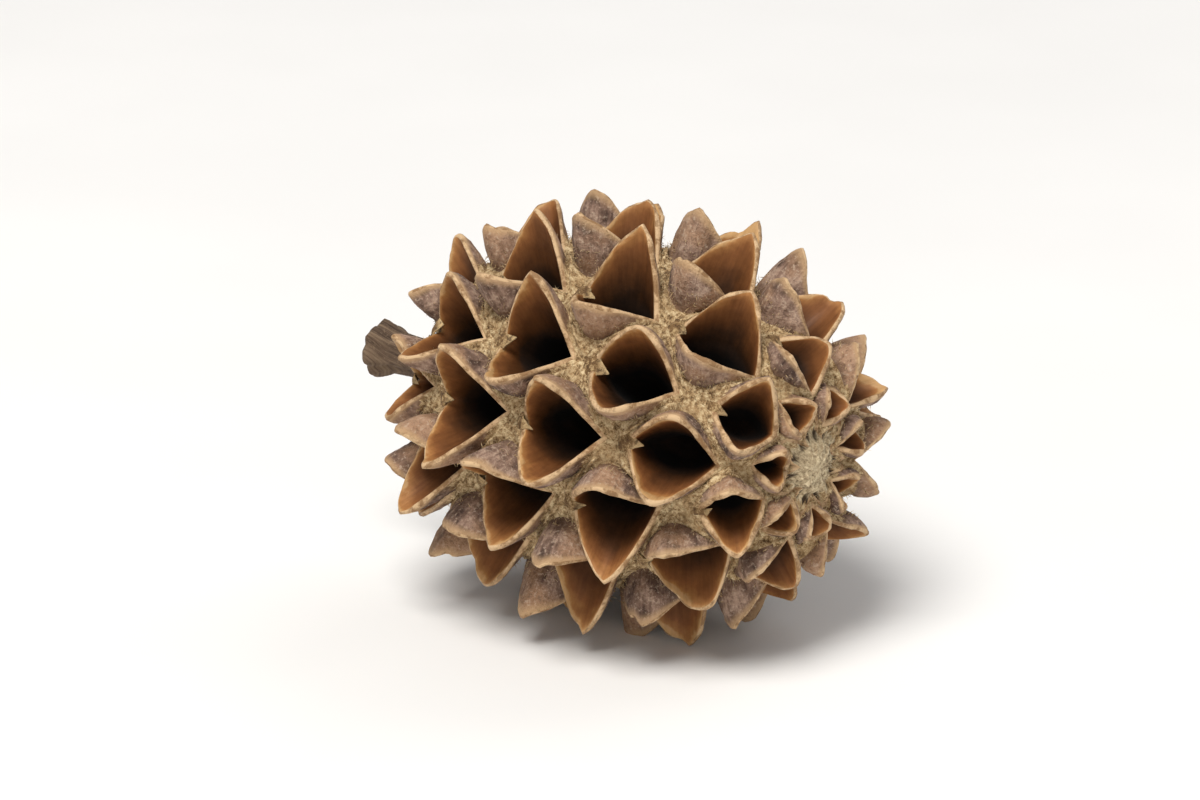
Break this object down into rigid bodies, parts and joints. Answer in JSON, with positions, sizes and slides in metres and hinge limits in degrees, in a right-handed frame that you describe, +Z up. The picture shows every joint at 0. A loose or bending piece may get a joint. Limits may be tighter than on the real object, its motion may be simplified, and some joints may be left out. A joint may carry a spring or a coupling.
{
  "type": "casuarina cone",
  "caption": "Small dry woody seed cone, oval and lying on its side, with a net of gaping chambers each framed by a pair of pointed valves, a rayed disc at its tip and a short stalk.",
  "frame": {"origin": "on the surface the cone lies on, under the middle of its bounding box", "axes": "+X along the cone's axis from the stalk to the disc at its tip, +Z up"},
  "size_m": [0.0232, 0.0184, 0.0176],
  "materials": {
    "cone_wood": "matte"
  },
  "bodies": {
    "root": {"cone": "cone_wood"}
  },
  "joints": []
}
